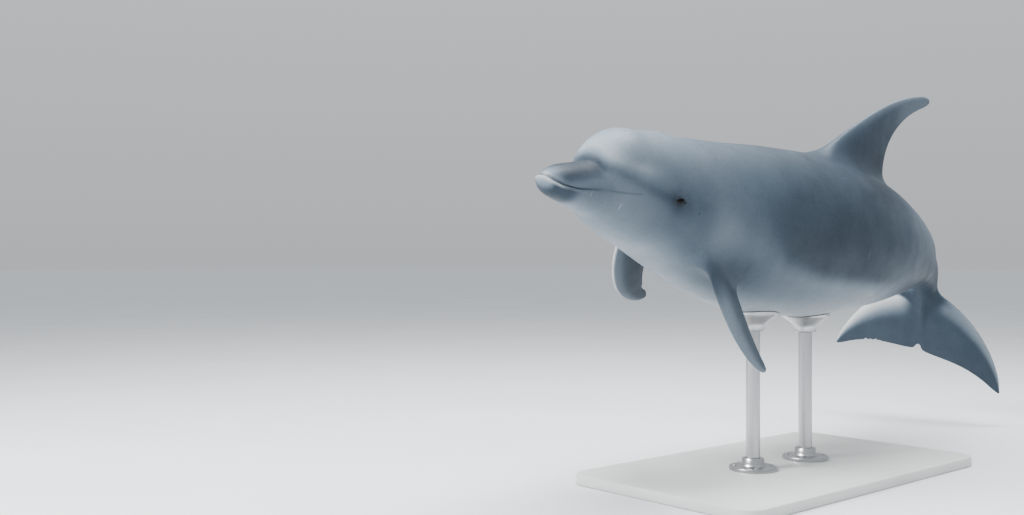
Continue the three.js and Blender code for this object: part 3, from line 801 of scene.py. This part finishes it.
# The rims of the flukes fade on the tail stock's side, along the curve where each springs from it. The right
# fluke's near-white rim is a painted highlight along its leading edge.
springs = 2.338 + 8.0 * np.clip(0.105 - np.abs(x), 0, None) ** 2
sprung_over = np.where(is_right, 0.014, 0.070)
sprung = rise(y, springs - sprung_over / 2, sprung_over)
rim_tone_and_highlight = mix(0.84, np.where(is_right, 0.02, 0.46), rise(np.abs(x), 0.020, 0.070) * sprung)
under_fluke = mix(rim_tone_and_highlight, 0.84, rise(chord, 0.04, np.where(is_right, 0.50, 0.27)))
fluke_tone = np.where(mark["face"] > 0, under_fluke, 0.82)
left_tone = mix(0.78, mix(0.52, 0.75, rise(chord, 0.06, 0.56)), rise(out, 0.15, 0.20))
flipper_highlight = fall(chord, 0.004, 0.050) * fall(out, 0.60, 0.25)
right_tone = mix(mix(0.62, 0.88, rise(chord, 0.05, 0.40)), 0.12, flipper_highlight)
flipper_tone = np.where(is_right, right_tone, left_tone)
is_dorsal = (z > 0.1) & (y > DORSAL_FROM)
fin_tone = np.where(is_dorsal, dorsal_tone, np.where(y > FLUKE_FROM, fluke_tone, flipper_tone))
tone = mix(tone, fin_tone, rise(mark["blade"], 0.25, 0.75))
shade = skin_mesh.attributes.new("tone", "FLOAT", "POINT")
shade.data.foreach_set("value", np.clip(tone, 0, 1))
# The line layer darkens the mouth line and the melon's crease: painted shade in the grooves.
line = skin_mesh.attributes.new("line", "FLOAT", "POINT")
drawn = lip_line * mix(0.7, 0.14, rise(y, 0.04, 0.12))
line.data.foreach_set("value", np.clip(drawn + 0.35 * crease, 0, 1))
lie = skin_mesh.attributes.new("straight", "FLOAT_VECTOR", "POINT")
lie.data.foreach_set("vector", straight.ravel())


def colour(code):
    """A colour from its sRGB hex code, as the linear values that the shader takes."""
    channels = [int(code[i:i + 2], 16) / 255 for i in (1, 3, 5)]
    return [c / 12.92 if c <= 0.04045 else ((c + 0.055) / 1.055) ** 2.4 for c in channels] + [1]


def feed(owner, node, **inputs):
    """Sets a node's inputs. Each is a value, or else an output, or a node whose first output it is."""
    for name, value in inputs.items():
        socket = node.inputs[int(name[1:])] if name[1:].isdigit() else node.inputs[name.replace("_", " ")]
        if isinstance(value, bpy.types.Node):
            value = value.outputs[0]
        if isinstance(value, bpy.types.NodeSocket):
            owner.node_tree.links.new(value, socket)
        else:
            socket.default_value = value


def add_node(owner, kind, settings=None, stops=(), **inputs):
    """Adds a node with its settings, its inputs and, for a ramp, its stops."""
    node = owner.node_tree.nodes.new("ShaderNode" + kind)
    for name, value in (settings or {}).items():
        setattr(node, name, value)
    while stops and len(node.color_ramp.elements) < len(stops):
        node.color_ramp.elements.new(0.5)
    for i, (place, code) in enumerate(stops):
        node.color_ramp.elements[i].position = place
        node.color_ramp.elements[i].color = colour(code)
    feed(owner, node, **inputs)
    return node


def new_material(name):
    """An empty material with its output, and its shader, which the caller feeds."""
    material = bpy.data.materials.new(name)
    material.use_nodes = True
    material.node_tree.nodes.clear()
    shader = add_node(material, "BsdfPrincipled")
    add_node(material, "OutputMaterial", Surface=shader)
    return material, shader


# Dolphin hide: living skin, rubbery and hairless, wet satin with a faint mottle. IOR of skin is 1.4.
HIDE_TONES = [
    (0.00, "#cfd0ce"),
    (0.22, "#a9aeb2"),
    (0.50, "#76818b"),
    (0.78, "#4a5560"),
    (1.00, "#222c36"),
]
MM = 1000  # divided by a size in millimetres, the scale of a pattern of that size
hide, shader = new_material("dolphin_hide")
tone_read = add_node(hide, "Attribute", {"attribute_name": "tone"})
groove_shade_read = add_node(hide, "Attribute", {"attribute_name": "line"})
lie = add_node(hide, "Attribute", {"attribute_name": "straight"}).outputs["Vector"]
clouds = add_node(hide, "TexNoise", Vector=lie, Scale=MM / 111, Detail=5.0, Roughness=0.6)
freckles = add_node(hide, "TexNoise", Vector=lie, Scale=MM / 7.14, Detail=4.0, Roughness=0.7)
changes = []  # of tone
for texture, amount in [(clouds, 0.14), (freckles, 0.10)]:
    changes.append(add_node(hide, "Math", {"operation": "MULTIPLY_ADD"}, _0=texture, _1=amount,
                            _2=-amount / 2))
# Rake marks: hairlines that other dolphins' teeth have left along the flanks, healed pale.
drawn_out = add_node(hide, "Mapping", Vector=lie, Scale=(MM / 11.1, MM / 143, MM / 9.09),
                     Rotation=(0.25, 0, 0.1))
strands = add_node(hide, "TexNoise", Vector=drawn_out, Scale=1.0, Detail=1.0)
hairlines = add_node(hide, "MapRange", Value=strands, From_Min=0.735, From_Max=0.775)
where = add_node(hide, "TexNoise", Vector=lie, Scale=MM / 200, Detail=1.0)
patches = add_node(hide, "MapRange", Value=where, From_Min=0.50, From_Max=0.62, To_Max=-0.16)
changes.append(add_node(hide, "Math", {"operation": "MULTIPLY"}, _0=hairlines, _1=patches))
# Single marks: station, height, half length, half height, change of tone.
MARKINGS = [
    (0.420, 0.004, 0.0016, 0.0016, 0.60),  # the ear, a pinhole behind the eye
    (0.113, -0.011, 0.0016, 0.0085, -0.15),  # small healed nicks on the lower jaw
    (0.196, -0.024, 0.0016, 0.0085, -0.15),
    (1.131, -0.023, 0.0050, 0.0160, -0.08),  # a fainter one on the flank
]
for at, height, long, tall, change in MARKINGS:
    off = add_node(hide, "VectorMath", {"operation": "SUBTRACT"}, _0=lie, _1=(0, at, height))
    sized = add_node(hide, "VectorMath", {"operation": "MULTIPLY"}, _0=off, _1=(0, 1 / long, 1 / tall))
    reach = add_node(hide, "VectorMath", {"operation": "LENGTH"}, _0=sized)
    changes.append(add_node(hide, "MapRange", Value=reach.outputs["Value"], From_Min=0.5, From_Max=1.3,
                            To_Min=change, To_Max=0.0))
toned = tone_read.outputs["Fac"]
for change in changes:
    toned = add_node(hide, "Math", {"operation": "ADD"}, _0=toned, _1=change)
tones = add_node(hide, "ValToRGB", stops=HIDE_TONES, Fac=toned)
# The mouth line and the crease darken towards a near-black: painted shade in the grooves.
groove_shaded = add_node(hide, "Mix", {"data_type": "RGBA"}, _0=groove_shade_read.outputs["Fac"], _6=tones,
                 _7=colour("#1b2129"))
grain = add_node(hide, "TexNoise", Vector=lie, Scale=MM / 1.43, Detail=2.0)
pores = add_node(hide, "Bump", Height=grain, Strength=0.20, Distance=0.0006)
relief = add_node(hide, "Bump", Height=freckles, Strength=0.15, Distance=0.002, Normal=pores)
damp = add_node(hide, "MapRange", Value=clouds, From_Min=0.3, From_Max=0.7, To_Min=0.42, To_Max=0.56)
feed(hide, shader, Base_Color=groove_shaded.outputs[2], Roughness=damp, Normal=relief, IOR=1.4,
     Specular_IOR_Level=0.3)
skin_mesh.materials.append(hide)
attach(skin_piece, "root")
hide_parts("lower_jaw", "upper_jaw", "head", "neck", "chest", "loin", "tail_stock",
            "peduncle", "dorsal_fin", "flipper_left", "flipper_right", "fluke_left", "fluke_right")

# ---------------------------------------------------------------- eyes
# A dolphin's eye is a flattened ball about 30 mm across, with a thick clear cornea over a dark brown
# iris and a pupil wider than high. It sits deep between the lids.

# Wet cornea, IOR 1.38, over the rings of the pupil, the iris and the dark ring round it.
wet_eye, shader = new_material("wet_eye")
around_read = add_node(wet_eye, "Attribute", {"attribute_name": "around"})
lie = add_node(wet_eye, "Attribute", {"attribute_name": "straight"}).outputs["Vector"]
fibres = add_node(wet_eye, "TexNoise", Vector=lie, Scale=MM / 1.11, Detail=3.0)
ragged = add_node(wet_eye, "Math", {"operation": "MULTIPLY_ADD"}, _0=fibres, _1=0.06,
                  _2=around_read.outputs["Fac"])
EYE_RINGS = [
    (0.15, "#020202"),
    (0.20, "#2a1a10"),
    (0.36, "#3b2617"),
    (0.45, "#120c08"),
    (0.60, "#3a302b"),
]
rings = add_node(wet_eye, "ValToRGB", stops=EYE_RINGS, Fac=ragged)
feed(wet_eye, shader, Base_Color=rings, Roughness=0.05, IOR=1.38)

PUPIL = {"wide": 0.8, "high": 1.15}  # the pupil is wider than high: the way off its axis counts more upwards
CORNEA = {"over": 0.42, "rise": 0.0012}  # the share of the ball that bulges, and how far
for side, centre, outward, upward, backward in eyeballs:
    ball = bmesh.new()
    bmesh.ops.create_uvsphere(ball, u_segments=48, v_segments=32, radius=EYE["radius"])
    around_layer = ball.verts.layers.float.new("around")
    straight_layer = ball.verts.layers.float_vector.new("straight")
    for v in ball.verts:
        ahead = v.co.z / EYE["radius"]
        sway = math.hypot(v.co.x * PUPIL["wide"], v.co.y * PUPIL["high"]) / EYE["radius"]
        v[around_layer] = math.atan2(sway, ahead) / math.pi
        off_axis = math.acos(max(min(ahead, 1), -1)) / math.pi
        bulge = float(fall(off_axis, CORNEA["over"] / 2, CORNEA["over"] / 2))
        v.co *= 1 + CORNEA["rise"] / EYE["radius"] * bulge
        place = centre + backward * v.co.x + upward * v.co.y + outward * v.co.z
        v[straight_layer] = place
        v.co = pose(np.array([place]), np.array([centre.y]))[0]
    bmesh.ops.recalc_face_normals(ball, faces=ball.faces)
    name = "eye_left" if side > 0 else "eye_right"
    ball_piece = put_in_scene(ball, name + "_glass")
    ball_piece.data.materials.append(wet_eye)
    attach(ball_piece, "root")
    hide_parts(name)

# ---------------------------------------------------------------- stand: base
# The base is one thick board with rounded corners and eased edges, lying flat on the floor. It is
# sprayed with a pale satin paint that keeps the faint orange peel of the spray gun.


def draw_rings(rings, capped=True):
    """A closed mesh drawn through rings of points, each with as many as the next. Its points note how
    far along the drawing they lie. Without caps, the last ring comes back to the first."""
    made = bmesh.new()
    along = made.verts.layers.float.new("along")
    ring = bmesh.ops.create_circle(made, segments=len(rings[0]), radius=1, cap_ends=capped)["verts"]
    for v, point in zip(ring, rings[0]):
        v.co = point
    reached = 0
    for before, points in zip(rings, rings[1:]):
        edges = [made.edges.get((ring[i - 1], ring[i])) for i in range(len(ring))]
        drawn = bmesh.ops.extrude_edge_only(made, edges=edges)["geom"]
        fresh = {g for g in drawn if isinstance(g, bmesh.types.BMVert)}
        ring = [next(e.other_vert(v) for e in v.link_edges if e.other_vert(v) in fresh) for v in ring]
        reached += (Vector(points[0]) - Vector(before[0])).length
        for v, point in zip(ring, points):
            v.co = point
            v[along] = reached
    if capped:
        bmesh.ops.contextual_create(made, geom=ring)
    bmesh.ops.remove_doubles(made, verts=made.verts, dist=1e-6)
    bmesh.ops.recalc_face_normals(made, faces=made.faces)
    return made


CRISP = 35  # edges that turn by more degrees than this look sharp


def finish_piece(made, name, material, node):
    """Makes the piece of a mesh, with its edges kept crisp, in place of a CAD node."""
    piece = put_in_scene(made, name)
    piece.data.set_sharp_from_angle(angle=math.radians(CRISP))
    piece.data.materials.append(material)
    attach(piece, "root")
    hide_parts(node)


# Satin acrylic paint on board, IOR 1.5.
paint, shader = new_material("satin_base_paint")
place = add_node(paint, "TexCoord").outputs["Object"]
cloud = add_node(paint, "TexNoise", Vector=place, Scale=MM / 333, Detail=4.0)
shades = add_node(paint, "ValToRGB", stops=[(0.30, "#c9cac8"), (0.70, "#d6d7d5")], Fac=cloud)
scuffs = add_node(paint, "TexNoise", Vector=place, Scale=MM / 35.7, Detail=6.0, Roughness=0.7)
sheen = add_node(paint, "MapRange", Value=scuffs, From_Min=0.3, From_Max=0.7, To_Min=0.34, To_Max=0.46)
peel = add_node(paint, "TexNoise", Vector=place, Scale=MM / 3.125, Detail=1.0)
bump = add_node(paint, "Bump", Height=peel, Strength=0.25, Distance=0.0004)
feed(paint, shader, Base_Color=shades, Roughness=sheen, Normal=bump, IOR=1.5)

CORNER = 0.060
EASED = 0.004
EASING = [(1, 0), (0.3, 0.3), (0, 1)]  # inset and rise of an eased edge, as shares of it
CORNER_STEPS = 17
JUST_PAST = 1e-4  # keeps each corner's first point on its own side of the axes
low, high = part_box("stand_base")
levels = [(EASED * inset, low[2] + EASED * rising) for inset, rising in EASING]
levels += [(inset, low[2] + high[2] - height) for inset, height in reversed(levels)]
quarters = [np.linspace(start, start + 90, CORNER_STEPS) for start in (0, 90, 180, 270)]
board_rings = []
for inset, height in levels:
    ring = []
    for turn in np.radians(np.concatenate(quarters) + JUST_PAST):
        toward = Vector((math.cos(turn), math.sin(turn), 0))
        side_x, side_y = math.copysign(1, toward.x), math.copysign(1, toward.y)
        middle = Vector((side_x * (high[0] - CORNER), side_y * (high[1] - CORNER), height))
        ring.append(middle + toward * (CORNER - inset))
    board_rings.append(ring)
finish_piece(draw_rings(board_rings), "stand_board", paint, "stand_base")

# ---------------------------------------------------------------- stand: rods, flanges and cups
# Two rods of brushed stainless steel stand in turned flanges, each held to the board by four button
# screws, and carry turned cups whose rims are cut to follow the belly.

# Brushed stainless steel: metal with fine turned rings, a little dulled by handling.
steel, shader = new_material("brushed_steel")
along_read = add_node(steel, "Attribute", {"attribute_name": "along"})
place = add_node(steel, "TexCoord").outputs["Object"]
brushing = add_node(steel, "TexNoise", {"noise_dimensions": "1D"}, W=along_read.outputs["Fac"],
                    Scale=MM / 0.714, Detail=3.0, Roughness=0.7)
smudges = add_node(steel, "TexNoise", Vector=place, Scale=MM / 71.4, Detail=4.0)
blended = add_node(steel, "Math", {"operation": "MULTIPLY_ADD"}, _0=smudges, _1=0.6, _2=brushing)
dulling = add_node(steel, "MapRange", Value=blended, From_Min=0.4, From_Max=1.2, To_Min=0.24, To_Max=0.38)
shades = add_node(steel, "ValToRGB", stops=[(0.25, "#b3b4b6"), (0.75, "#c6c6c8")], Fac=brushing)
bump = add_node(steel, "Bump", Height=brushing, Strength=0.15, Distance=0.0002)
feed(steel, shader, Base_Color=shades, Roughness=dulling, Normal=bump, Metallic=1.0)

TURNED = 96  # points round a turned piece
FLANGE = [  # radius, height of the turned flange, from the hole's foot round and back to it
    (0.0203, 0.0000),
    (0.0675, 0.0000),
    (0.0680, 0.0005),
    (0.0680, 0.0078),
    (0.0672, 0.0094),
    (0.0655, 0.0100),
    (0.0400, 0.0108),
    (0.0362, 0.0124),
    (0.0341, 0.0158),
    (0.0330, 0.0200),
    (0.0308, 0.0320),
    (0.0294, 0.0340),
    (0.0215, 0.0340),
    (0.0203, 0.0328),
    (0.0203, 0.0000),
]
CUP = [  # radius, height of the turned cup, taken from the foot of its neck up to the flare
    (0.0000, 0.0000),
    (0.0300, 0.0000),
    (0.0320, 0.0020),
    (0.0320, 0.0150),
    (0.0335, 0.0185),
    (0.0400, 0.0250),
    (0.0560, 0.0370),
    (0.0690, 0.0455),
    (0.0712, 0.0480),
]
CUP_RADIUS = 0.072
CUP_CLEAR = {"rim": 0.0025, "bowl": 0.0010}  # between the cup and the skin
BOWL = (0.97, 0.90, 0.75, 0.60, 0.45, 0.30, 0.15, 0.0)  # rings of the bowl, as shares of its radius
SCREWS_AT = {"radius": 0.054, "height": 0.0104}  # circle of the four screws, on the flange
SCREW = [  # radius and height of a button head, rim first; the last rings are the six-sided socket
    (0.0052, -0.0002),
    (0.0054, 0.0010),
    (0.0049, 0.0021),
    (0.0036, 0.0028),
    (0.0024, 0.0030),
    (0.0022, 0.0028),
    (0.0022, 0.0012),
]
SIX_SIDED_RINGS = 2
SIX_SIDED_FIT = 1.1  # how much smaller the socket is than a six-sided hole round the last radius
SCREW_POINTS = 24
ROD_EASED = 0.0008
ROD_RINGS = 8
round_turns = np.radians(np.arange(TURNED) * 360 / TURNED)
seen_skin = BVHTree.FromPolygons(posed.tolist(), [list(p.vertices) for p in skin_mesh.polygons])


def turned_rings(profile, x_axis, y_axis, foot):
    return [
        [Vector((x_axis + radius * math.cos(turn), y_axis + radius * math.sin(turn), foot + height))
         for turn in round_turns]
        for radius, height in profile
    ]


def screw_ring(middle, radius, six_sided):
    """A ring of a screw's head, round or six-sided."""
    ring = []
    for turn in np.arange(SCREW_POINTS) * 2 * math.pi / SCREW_POINTS:
        reach = radius
        if six_sided:
            reach /= math.cos((turn + math.pi / 6) % (math.pi / 3) - math.pi / 6) * SIX_SIDED_FIT
        ring.append(middle + Vector((math.cos(turn), math.sin(turn), 0)) * reach)
    return ring


for which in ("front", "rear"):
    low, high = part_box("stand_rod_" + which)
    middle_x, middle_y = (low[0] + high[0]) / 2, (low[1] + high[1]) / 2
    radius = (high[0] - low[0]) / 2
    rod_length = high[2] - low[2]
    profile = [(radius - ROD_EASED, 0), (radius, ROD_EASED)]
    profile += [(radius, rod_length * step / ROD_RINGS) for step in range(1, ROD_RINGS)]
    profile += [(radius, rod_length - ROD_EASED), (radius - ROD_EASED, rod_length)]
    rod = draw_rings(turned_rings(profile, middle_x, middle_y, low[2]))
    finish_piece(rod, "stand_post_" + which, steel, "stand_rod_" + which)

    low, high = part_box("stand_flange_" + which)
    flange = draw_rings(turned_rings(FLANGE, middle_x, middle_y, low[2]), capped=False)
    for screw_turn in np.radians([45, 135, 225, 315]):
        screw_x = middle_x + SCREWS_AT["radius"] * math.cos(screw_turn)
        screw_y = middle_y + SCREWS_AT["radius"] * math.sin(screw_turn)
        seat = low[2] + SCREWS_AT["height"]
        screw = draw_rings([
            screw_ring(Vector((screw_x, screw_y, seat + height)), radius, i >= len(SCREW) - SIX_SIDED_RINGS)
            for i, (radius, height) in enumerate(SCREW)
        ])
        screw_mesh = bpy.data.meshes.new("screw")
        screw.to_mesh(screw_mesh)
        flange.from_mesh(screw_mesh)
        bpy.data.meshes.remove(screw_mesh)
    finish_piece(flange, "stand_foot_" + which, steel, "stand_flange_" + which)

    low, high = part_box("stand_cup_" + which)
    rings = turned_rings(CUP, middle_x, middle_y, low[2])
    for share, clear in [(1, CUP_CLEAR["rim"]), *((share, CUP_CLEAR["bowl"]) for share in BOWL)]:
        ring = []
        for turn in round_turns:
            under = Vector((middle_x + CUP_RADIUS * share * math.cos(turn),
                            middle_y + CUP_RADIUS * share * math.sin(turn), low[2]))
            hit, _, _, _ = seen_skin.ray_cast(under, Vector((0, 0, 1)))
            ring.append(hit - Vector((0, 0, clear)))
        rings.append(ring)
    finish_piece(draw_rings(rings), "stand_saddle_" + which, steel, "stand_cup_" + which)

# ---------------------------------------------------------------- camera, light and floor
# The model is seen from ahead and to its left, level with its belly, in a plain pale studio. One soft
# lamp hangs ahead of it and a larger one overhead, and the floor is matt paint.

CAMERA = {"place": (1.9033, -2.7305, 0.6414), "heading": 48.8, "lens": 38.27}
camera = bpy.data.objects.new("camera", bpy.data.cameras.new("camera"))
camera.location = CAMERA["place"]
camera.rotation_euler = (math.radians(90), 0, math.radians(CAMERA["heading"]))
camera.data.sensor_width = 36
camera.data.lens = CAMERA["lens"]
bpy.context.scene.collection.objects.link(camera)
bpy.context.scene.camera = camera

# The studio's walls fade from the floor's own brightness at the horizon to a paler ceiling.
WALLS = [(0.0, 0.635), (0.7, 1.0)]  # height on the sky, brightness
WALL_TINT = (0.94, 0.97, 1)
world = bpy.data.worlds.new("studio")
world.use_nodes = True
sky_way = add_node(world, "TexCoord").outputs["Generated"]
split = add_node(world, "SeparateXYZ", Vector=sky_way)
walls = add_node(world, "ValToRGB", Fac=split.outputs["Z"])
for element, (place, level) in zip(walls.color_ramp.elements, WALLS):
    element.position, element.color = place, (*(level * tint for tint in WALL_TINT), 1)
feed(world, world.node_tree.nodes["Background"], Color=walls, Strength=0.76)
bpy.context.scene.world = world
bpy.context.scene.view_settings.look = "AgX - Medium High Contrast"

LAMPS = [  # name, place, what it's aimed at, size, power
    ("key", (-1.3, -3.9, 3.2), (0, -0.4, 0.8), 1.5, 240),
    ("overhead", (0.3, 0.3, 4.6), (0, 0, 0.7), 3.0, 320),
]
for name, place, aim, size, power in LAMPS:
    lamp = bpy.data.lights.new(name, "AREA")
    lamp.size, lamp.energy = size, power
    holder = bpy.data.objects.new(name, lamp)
    holder.location = place
    holder.rotation_euler = (Vector(aim) - Vector(place)).to_track_quat("-Z", "Y").to_euler()
    bpy.context.scene.collection.objects.link(holder)

# Matt floor paint, faintly clouded.
matt, shader = new_material("floor_paint")
place = add_node(matt, "TexCoord").outputs["Object"]
cloud = add_node(matt, "TexNoise", Vector=place, Scale=MM / 667, Detail=3.0)
shades = add_node(matt, "ValToRGB", stops=[(0.3, "#d3d5d8"), (0.7, "#d8dadc")], Fac=cloud)
feed(matt, shader, Base_Color=shades, Roughness=0.85)

FLOOR_RADIUS = 60
floor = bmesh.new()
bmesh.ops.create_circle(floor, cap_ends=True, segments=128, radius=FLOOR_RADIUS)
floor_piece = put_in_scene(floor, "floor")
floor_piece.data.materials.append(matt)
